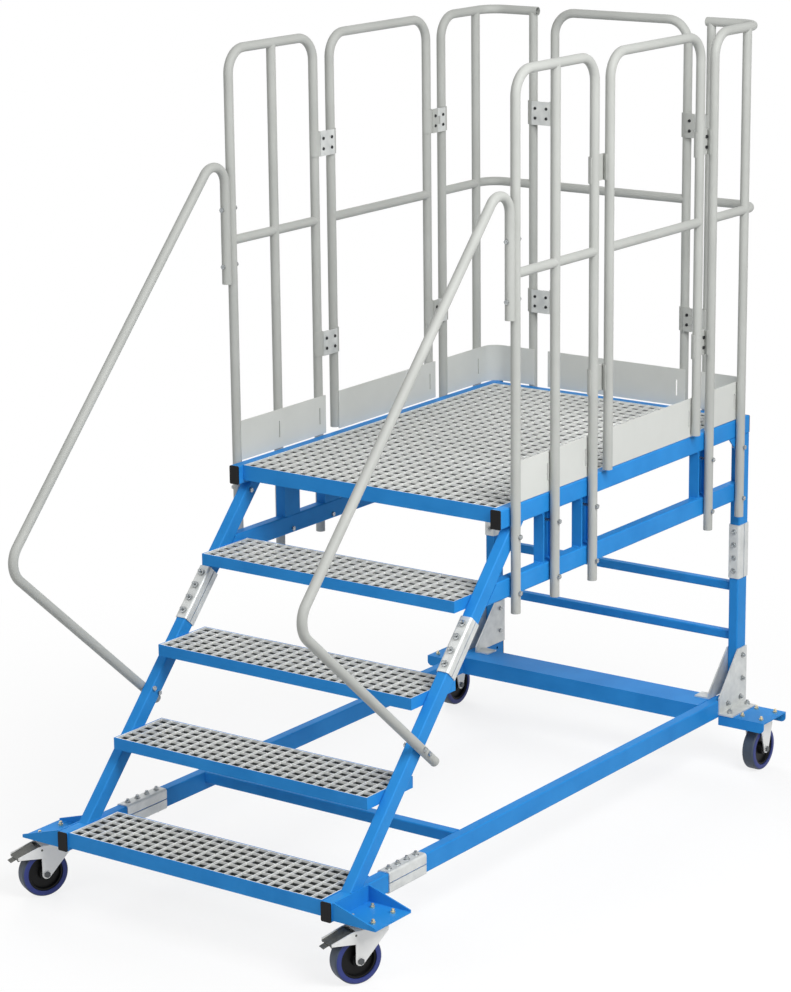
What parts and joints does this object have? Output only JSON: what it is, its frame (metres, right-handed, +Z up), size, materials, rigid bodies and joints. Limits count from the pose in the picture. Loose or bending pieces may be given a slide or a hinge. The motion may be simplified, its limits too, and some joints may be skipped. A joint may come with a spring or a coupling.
{
  "type": "podium step",
  "caption": "Mobile podium step: stair with grating treads up to a guarded grating deck on casters, with bent-tube guard rails, handrails and hinged gates.",
  "frame": {"origin": "on the floor under the middle of the object's box", "axes": "+Z up, -Y towards the foot of the stair, +X to the right when climbing"},
  "size_m": [1.15, 2.1108, 2.1],
  "materials": {
    "blue_paint": "semi-gloss powder coat",
    "grey_paint": "satin",
    "galvanised": "zinc plated",
    "grating_steel": "hot-dip galvanised",
    "black_plastic": "matt",
    "caster_zinc": "zinc plated",
    "yellow_zinc": "yellow zinc",
    "wheel_tread": "matt"
  },
  "bodies": {
    "frame": {"base_stubs": "blue_paint", "base_rails": "blue_paint", "base_cross_member": "blue_paint", "rear_beam": "blue_paint", "rear_caster_plates": "blue_paint", "front_caster_brackets": "blue_paint", "lower_stringers": "blue_paint", "upper_stringers": "blue_paint", "splice_shells": "galvanised", "frame_bolts": "galvanised", "tread_frame_1": "blue_paint", "tread_frame_2": "blue_paint", "tread_frame_3": "blue_paint", "tread_frame_4": "blue_paint", "tread_gratings": "grating_steel", "platform_rails": "blue_paint", "deck_end_bars": "blue_paint", "deck_ledges": "blue_paint", "lower_chords": "blue_paint", "truss_uprights": "blue_paint", "upper_rear_posts": "blue_paint", "lower_rear_posts": "blue_paint", "corner_gussets": "blue_paint", "rear_cross_bars": "blue_paint", "post_gussets": "galvanised", "end_caps": "black_plastic", "deck_grating": "grating_steel", "guard_front_left": "grey_paint", "guard_front_right": "grey_paint", "guard_corner_left": "grey_paint", "guard_corner_right": "grey_paint", "toe_boards": "grey_paint", "handrail_left": "grey_paint", "handrail_right": "grey_paint", "guard_bolts": "galvanised", "hinge_brackets": "galvanised", "hinge_leaves": "galvanised", "catch_plates": "galvanised", "front_caster_heads": "caster_zinc", "caster_bolts": "yellow_zinc", "rear_caster_forks": "caster_zinc"},
    "gate_left": {"gate_left": "grey_paint", "gate_left_brackets": "galvanised"},
    "gate_right": {"gate_right": "grey_paint", "gate_right_brackets": "galvanised"},
    "gate_rear": {"gate_rear": "grey_paint", "gate_rear_brackets": "galvanised"},
    "fork_left": {"fork_left": "caster_zinc"},
    "fork_right": {"fork_right": "caster_zinc"},
    "pedal_left": {"pedal_left": "caster_zinc"},
    "pedal_right": {"pedal_right": "caster_zinc"},
    "wheel_front_left": {"hub_front_left": "black_plastic", "tyre_front_left": "wheel_tread"},
    "wheel_front_right": {"hub_front_right": "black_plastic", "tyre_front_right": "wheel_tread"},
    "wheel_rear_left": {"hub_rear_left": "black_plastic", "tyre_rear_left": "wheel_tread"},
    "wheel_rear_right": {"hub_rear_right": "black_plastic", "tyre_rear_right": "wheel_tread"}
  },
  "joints": [
    {"name": "gate_right_hinge", "type": "hinge", "parent": "frame", "child": "gate_right", "pos_m": [0.4295, 0.75822, 1.254], "axis": [0, 0, 1], "range_deg": [0, 90]},
    {"name": "gate_left_hinge", "type": "hinge", "parent": "frame", "child": "gate_left", "pos_m": [-0.4295, 0.75822, 1.254], "axis": [0, 0, -1], "range_deg": [0, 90]},
    {"name": "gate_rear_hinge", "type": "hinge", "parent": "frame", "child": "gate_rear", "pos_m": [0.2545, 1.02472, 1.254], "axis": [0, 0, -1], "range_deg": [0, 90]},
    {"name": "swivel_right", "type": "hinge", "parent": "frame", "child": "fork_right", "pos_m": [0.496, -0.85778, 0.14], "axis": [0, 0, 1], "continuous": true},
    {"name": "roll_front_right", "type": "hinge", "parent": "fork_right", "child": "wheel_front_right", "pos_m": [0.47496, -0.90092, 0.0625], "axis": [0.8988, -0.4384, 0], "continuous": true},
    {"name": "brake_right", "type": "hinge", "parent": "fork_right", "child": "pedal_right", "pos_m": [0.47014, -0.9108, 0.1295], "axis": [0.8988, -0.4384, 0], "range_deg": [0, 10]},
    {"name": "roll_rear_right", "type": "hinge", "parent": "frame", "child": "wheel_rear_right", "pos_m": [0.524, 0.95772, 0.0625], "axis": [1, 0, 0], "continuous": true},
    {"name": "swivel_left", "type": "hinge", "parent": "frame", "child": "fork_left", "pos_m": [-0.496, -0.85778, 0.14], "axis": [0, 0, 1], "continuous": true},
    {"name": "roll_front_left", "type": "hinge", "parent": "fork_left", "child": "wheel_front_left", "pos_m": [-0.51704, -0.90092, 0.0625], "axis": [0.8988, -0.4384, 0], "continuous": true},
    {"name": "brake_left", "type": "hinge", "parent": "fork_left", "child": "pedal_left", "pos_m": [-0.52186, -0.9108, 0.1295], "axis": [0.8988, -0.4384, 0], "range_deg": [0, 10]},
    {"name": "roll_rear_left", "type": "hinge", "parent": "frame", "child": "wheel_rear_left", "pos_m": [-0.524, 0.95772, 0.0625], "axis": [1, 0, 0], "continuous": true}
  ]
}
